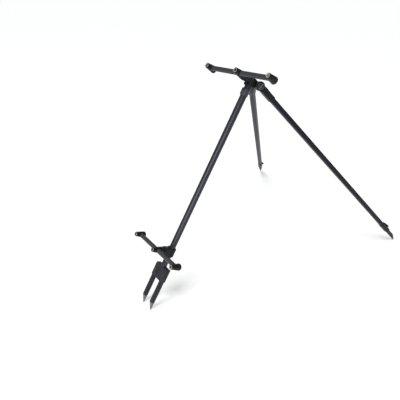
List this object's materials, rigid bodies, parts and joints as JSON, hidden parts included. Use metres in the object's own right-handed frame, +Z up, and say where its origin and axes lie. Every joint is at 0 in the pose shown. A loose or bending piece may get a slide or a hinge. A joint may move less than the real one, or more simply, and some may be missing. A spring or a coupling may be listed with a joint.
{
  "type": "rod tripod",
  "caption": "Fishing rod tripod with a telescopic forked front leg, folding square rear legs with sliding spikes, and swivelling cross bars that carry threaded brass inserts.",
  "frame": {"origin": "on the ground at the middle of the footprint, midway between the fork's tips and the rear spikes", "axes": "+X along the cross bars, -Y toward the forked front leg, +Y toward the rear legs, +Z up"},
  "size_m": [0.7966, 1.0469, 0.7776],
  "materials": {
    "moulding": "fine grained black moulding",
    "gloss_moulding": "glossy black moulding",
    "leg_coating": "dark grey anodised tube",
    "rear_coating": "charcoal coated square tube",
    "spike_coating": "near black coated bar",
    "satin_tube": "satin grey aluminium",
    "insert_brass": "turned brass",
    "bolt_metal": "bluish dark steel",
    "steel": "plain machined steel"
  },
  "bodies": {
    "hub": {"hub_body": "moulding", "main_inner_tube": "satin_tube", "upper_stud": "steel", "left_leg_bolt": "bolt_metal", "left_leg_washer": "steel", "right_leg_bolt": "bolt_metal", "right_leg_washer": "steel"},
    "upper_knob": {"upper_lock_knob": "gloss_moulding"},
    "upper_bar_set": {"upper_bar": "satin_tube", "upper_head_left": "moulding", "upper_head_middle": "moulding", "upper_head_right": "moulding", "upper_insert_left": "insert_brass", "upper_insert_middle": "insert_brass", "upper_insert_right": "insert_brass"},
    "front_leg": {"main_leg_tube": "leg_coating", "main_leg_collar": "moulding", "main_leg_collar_screw": "steel", "fork_block": "moulding", "prong_left": "spike_coating", "prong_right": "spike_coating", "fork_screw_left": "steel", "fork_screw_right": "steel"},
    "slider": {"slider_block": "moulding", "lower_stud": "steel"},
    "lower_knob": {"lower_lock_knob": "gloss_moulding"},
    "lower_bar_set": {"lower_bar": "satin_tube", "lower_head_left": "moulding", "lower_head_middle": "moulding", "lower_head_right": "moulding", "lower_insert_left": "insert_brass", "lower_insert_middle": "insert_brass", "lower_insert_right": "insert_brass"},
    "left_leg": {"left_leg_joint": "moulding", "left_leg_tube": "rear_coating", "left_leg_collar": "moulding"},
    "left_spike": {"left_leg_spike": "spike_coating"},
    "left_thumbscrew": {"left_leg_thumbscrew": "gloss_moulding"},
    "right_leg": {"right_leg_joint": "moulding", "right_leg_tube": "rear_coating", "right_leg_collar": "moulding"},
    "right_spike": {"right_leg_spike": "spike_coating"},
    "right_thumbscrew": {"right_leg_thumbscrew": "gloss_moulding"}
  },
  "joints": [
    {"name": "front_leg_slide", "type": "slide", "parent": "hub", "child": "front_leg", "axis": [0, -0.5446, -0.8387], "range_m": [0, 0.25]},
    {"name": "left_leg_fold", "type": "hinge", "parent": "hub", "child": "left_leg", "pos_m": [-0.019, -0.03623, 0.70046], "axis": [-0.9128, -0.3425, 0.2224], "range_deg": [0, 73.4]},
    {"name": "right_leg_fold", "type": "hinge", "parent": "hub", "child": "right_leg", "pos_m": [0.019, -0.03623, 0.70046], "axis": [-0.9128, 0.3425, -0.2224], "range_deg": [0, 73.4]},
    {"name": "left_spike_slide", "type": "slide", "parent": "left_leg", "child": "left_spike", "axis": [-0.3913, 0.5781, -0.716], "range_m": [0, 0.25]},
    {"name": "right_spike_slide", "type": "slide", "parent": "right_leg", "child": "right_spike", "axis": [0.3913, 0.5781, -0.716], "range_m": [0, 0.25]},
    {"name": "left_thumbscrew_turn", "type": "hinge", "parent": "left_leg", "child": "left_thumbscrew", "pos_m": [-0.35891, 0.46591, 0.07847], "axis": [-0.1167, 0.7407, 0.6617], "range_deg": [0, 360]},
    {"name": "right_thumbscrew_turn", "type": "hinge", "parent": "right_leg", "child": "right_thumbscrew", "pos_m": [0.35891, 0.46591, 0.07847], "axis": [0.1167, 0.7407, 0.6617], "range_deg": [0, 360]},
    {"name": "slider_slide", "type": "slide", "parent": "front_leg", "child": "slider", "axis": [0, 0.5446, 0.8387], "range_m": [-0.0425, 0.555]},
    {"name": "upper_bar_swivel", "type": "hinge", "parent": "hub", "child": "upper_bar_set", "pos_m": [0, -0.1138, 0.75084], "axis": [0, -0.8387, 0.5446], "range_deg": [-180, 180]},
    {"name": "upper_knob_turn", "type": "hinge", "parent": "hub", "child": "upper_knob", "pos_m": [0, -0.06139, 0.7168], "axis": [0, -0.8387, 0.5446], "range_deg": [0, 360]},
    {"name": "lower_bar_swivel", "type": "hinge", "parent": "slider", "child": "lower_bar_set", "pos_m": [0, -0.45462, 0.23099], "axis": [0, -0.8387, 0.5446], "range_deg": [-180, 180]},
    {"name": "lower_knob_turn", "type": "hinge", "parent": "slider", "child": "lower_knob", "pos_m": [0, -0.39993, 0.19548], "axis": [0, -0.8387, 0.5446], "range_deg": [0, 360]}
  ]
}
